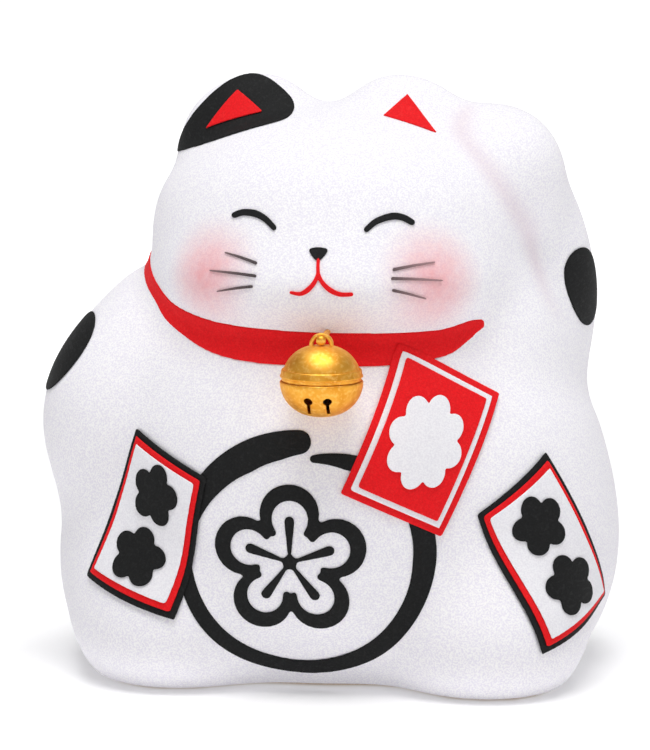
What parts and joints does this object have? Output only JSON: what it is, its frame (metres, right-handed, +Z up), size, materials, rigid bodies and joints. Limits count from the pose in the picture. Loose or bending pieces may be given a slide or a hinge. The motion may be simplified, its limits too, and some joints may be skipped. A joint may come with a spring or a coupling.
{
  "type": "beckoning cat figurine",
  "caption": "Seated beckoning cat with one paw raised, hollow ceramic covered in fibrous paper, with paper cut-outs and a small jingle bell that swings at the collar.",
  "frame": {"origin": "on the table, in the base face under the middle of the figure", "axes": "+Z up, -Y the way the cat faces, +X to the cat's own left, the side of its raised paw"},
  "size_m": [0.1095, 0.1059, 0.1125],
  "materials": {
    "covered_body": "matt fibrous paper over fired clay",
    "black_paper": "matt dyed fibrous paper",
    "red_paper": "matt dyed fibrous paper",
    "white_paper": "matt fibrous paper",
    "bell_brass": "satin gilt",
    "pellet_steel": "plain ground",
    "stopper": "soft matt"
  },
  "bodies": {
    "figure": {"body_casting": "covered_body", "ear_patch": "black_paper", "ear_lining_right": "red_paper", "ear_lining_left": "red_paper", "eye_right": "black_paper", "eye_left": "black_paper", "nose": "black_paper", "mouth": "red_paper", "whiskers_right": "black_paper", "whiskers_left": "black_paper", "collar": "red_paper", "arm_patch_right": "black_paper", "arm_patch_left": "black_paper", "belly_ring": "black_paper", "belly_emblem": "black_paper", "red_tag_backing": "red_paper", "red_tag_liner": "white_paper", "red_tag_panel": "red_paper", "red_tag_emblem": "white_paper", "right_tag_backing": "black_paper", "right_tag_border": "red_paper", "right_tag_panel": "white_paper", "right_tag_emblem": "black_paper", "left_tag_backing": "black_paper", "left_tag_border": "red_paper", "left_tag_panel": "white_paper", "left_tag_emblem": "black_paper", "bell_pin": "bell_brass"},
    "stopper": {"stopper": "stopper"},
    "bell": {"bell_loop": "bell_brass", "bell_upper_shell": "bell_brass", "bell_lower_shell": "bell_brass", "bell_band": "bell_brass"},
    "pellet": {"bell_pellet": "pellet_steel"}
  },
  "joints": [
    {"name": "bell_swing", "type": "hinge", "parent": "figure", "child": "bell", "pos_m": [0.0028, -0.047, 0.06807], "axis": [0, 1, 0], "range_deg": [-30, 30]},
    {"name": "pellet_roll", "type": "hinge", "parent": "bell", "child": "pellet", "pos_m": [0.0028, -0.047, 0.0606], "axis": [0, 1, 0], "range_deg": [-50, 50]},
    {"name": "stopper_pull", "type": "slide", "parent": "figure", "child": "stopper", "axis": [0, 0, -1], "range_m": [0, 0.03]}
  ]
}
